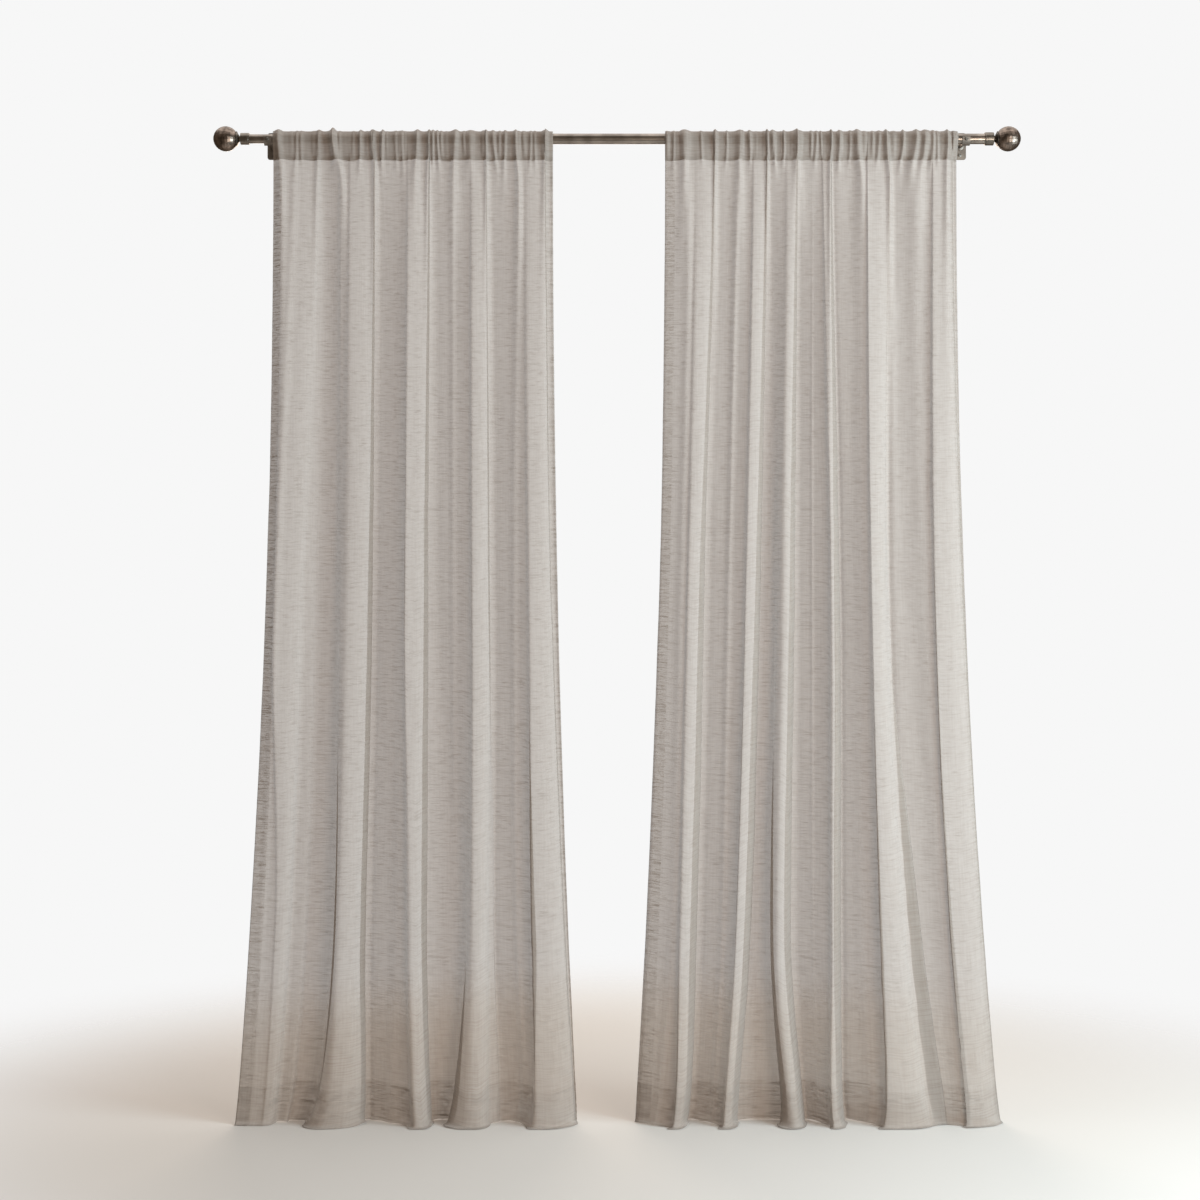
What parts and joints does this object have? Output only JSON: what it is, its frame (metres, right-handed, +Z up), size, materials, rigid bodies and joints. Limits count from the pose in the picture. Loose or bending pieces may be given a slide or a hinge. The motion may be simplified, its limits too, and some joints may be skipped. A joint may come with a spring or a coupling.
{
  "type": "curtain rod with panels",
  "caption": "Sheer gathered rod-pocket curtain panels on a telescoping metal rod with ball finials, held off the wall by cup brackets.",
  "frame": {"origin": "on the floor, midway between the two finials and midway between the frontmost fold and the tips of the wall screws", "axes": "+X along the rod to the viewer's right, +Y towards the wall, +Z up, in metres"},
  "size_m": [1.9676, 0.1515, 2.436],
  "materials": {
    "sheer_cloth": "matte",
    "rod_nickel": "satin",
    "finial_nickel": "satin",
    "hammered_nickel": "satin",
    "bracket_nickel": "satin",
    "zinc_steel": "satin",
    "dark_plastic": "matte"
  },
  "bodies": {
    "brackets": {"left_wall_plate": "bracket_nickel", "left_arm": "bracket_nickel", "left_cradle": "bracket_nickel", "left_wall_screw_upper": "zinc_steel", "left_wall_screw_lower": "zinc_steel", "right_wall_plate": "bracket_nickel", "right_arm": "bracket_nickel", "right_cradle": "bracket_nickel", "right_wall_screw_upper": "zinc_steel", "right_wall_screw_lower": "zinc_steel"},
    "left_cradle_screw": {"left_cradle_screw": "zinc_steel"},
    "right_cradle_screw": {"right_cradle_screw": "zinc_steel"},
    "outer_rod": {"outer_tube": "rod_nickel", "right_end_plug": "dark_plastic", "right_collar": "finial_nickel", "right_collar_screw": "zinc_steel"},
    "inner_rod": {"inner_tube": "rod_nickel", "left_end_plug": "dark_plastic", "left_collar": "finial_nickel", "left_collar_screw": "zinc_steel", "tube_guide": "dark_plastic"},
    "left_finial": {"left_neck": "finial_nickel", "left_ball": "hammered_nickel", "left_stud": "zinc_steel"},
    "right_finial": {"right_neck": "finial_nickel", "right_ball": "hammered_nickel", "right_stud": "zinc_steel"},
    "left_panel": {"left_pleat_1": "sheer_cloth"},
    "left_fold_2": {"left_pleat_2": "sheer_cloth"},
    "left_fold_3": {"left_pleat_3": "sheer_cloth"},
    "left_fold_4": {"left_pleat_4": "sheer_cloth"},
    "left_fold_5": {"left_pleat_5": "sheer_cloth"},
    "left_fold_6": {"left_pleat_6": "sheer_cloth"},
    "right_panel": {"right_pleat_1": "sheer_cloth"},
    "right_fold_2": {"right_pleat_2": "sheer_cloth"},
    "right_fold_3": {"right_pleat_3": "sheer_cloth"},
    "right_fold_4": {"right_pleat_4": "sheer_cloth"},
    "right_fold_5": {"right_pleat_5": "sheer_cloth"},
    "right_fold_6": {"right_pleat_6": "sheer_cloth"}
  },
  "joints": [
    {"name": "rod_lift_off", "type": "slide", "parent": "brackets", "child": "outer_rod", "axis": [0, 0, 1], "range_m": [0, 0.05]},
    {"name": "rod_telescope", "type": "slide", "parent": "outer_rod", "child": "inner_rod", "axis": [-1, 0, 0], "range_m": [-0.036, 0.26]},
    {"name": "left_finial_turn", "type": "hinge", "parent": "inner_rod", "child": "left_finial", "pos_m": [-0.9155, -0.03, 2.404], "axis": [-1, 0, 0], "continuous": true},
    {"name": "right_finial_turn", "type": "hinge", "parent": "outer_rod", "child": "right_finial", "pos_m": [0.9155, -0.03, 2.404], "axis": [1, 0, 0], "continuous": true},
    {"name": "left_cradle_screw_turn", "type": "hinge", "parent": "brackets", "child": "left_cradle_screw", "pos_m": [-0.8495, -0.03, 2.4], "axis": [0, -1, 0], "continuous": true},
    {"name": "right_cradle_screw_turn", "type": "hinge", "parent": "brackets", "child": "right_cradle_screw", "pos_m": [0.8495, -0.03, 2.4], "axis": [0, -1, 0], "continuous": true},
    {"name": "left_panel_slide", "type": "slide", "parent": "outer_rod", "child": "left_panel", "axis": [1, 0, 0], "range_m": [0, 0.135]},
    {"name": "left_panel_draw", "type": "slide", "parent": "left_panel", "child": "left_fold_6", "axis": [-1, 0, 0], "range_m": [0, 0.284]},
    {"name": "left_fold_2_slide", "type": "slide", "parent": "left_panel", "child": "left_fold_2", "axis": [-1, 0, 0], "range_m": [0, 0.0568]},
    {"name": "left_fold_3_slide", "type": "slide", "parent": "left_panel", "child": "left_fold_3", "axis": [-1, 0, 0], "range_m": [0, 0.1136]},
    {"name": "left_fold_4_slide", "type": "slide", "parent": "left_panel", "child": "left_fold_4", "axis": [-1, 0, 0], "range_m": [0, 0.1704]},
    {"name": "left_fold_5_slide", "type": "slide", "parent": "left_panel", "child": "left_fold_5", "axis": [-1, 0, 0], "range_m": [0, 0.2272]},
    {"name": "right_panel_slide", "type": "slide", "parent": "outer_rod", "child": "right_panel", "axis": [-1, 0, 0], "range_m": [0, 0.135]},
    {"name": "right_panel_draw", "type": "slide", "parent": "right_panel", "child": "right_fold_6", "axis": [1, 0, 0], "range_m": [0, 0.2965]},
    {"name": "right_fold_2_slide", "type": "slide", "parent": "right_panel", "child": "right_fold_2", "axis": [1, 0, 0], "range_m": [0, 0.0593]},
    {"name": "right_fold_3_slide", "type": "slide", "parent": "right_panel", "child": "right_fold_3", "axis": [1, 0, 0], "range_m": [0, 0.1186]},
    {"name": "right_fold_4_slide", "type": "slide", "parent": "right_panel", "child": "right_fold_4", "axis": [1, 0, 0], "range_m": [0, 0.1779]},
    {"name": "right_fold_5_slide", "type": "slide", "parent": "right_panel", "child": "right_fold_5", "axis": [1, 0, 0], "range_m": [0, 0.2372]}
  ],
  "couplings": [
    {"joint": "left_fold_2_slide", "follows": "left_panel_draw", "ratio": 0.2},
    {"joint": "left_fold_3_slide", "follows": "left_panel_draw", "ratio": 0.4},
    {"joint": "left_fold_4_slide", "follows": "left_panel_draw", "ratio": 0.6},
    {"joint": "left_fold_5_slide", "follows": "left_panel_draw", "ratio": 0.8},
    {"joint": "right_fold_2_slide", "follows": "right_panel_draw", "ratio": 0.2},
    {"joint": "right_fold_3_slide", "follows": "right_panel_draw", "ratio": 0.4},
    {"joint": "right_fold_4_slide", "follows": "right_panel_draw", "ratio": 0.6},
    {"joint": "right_fold_5_slide", "follows": "right_panel_draw", "ratio": 0.8}
  ]
}
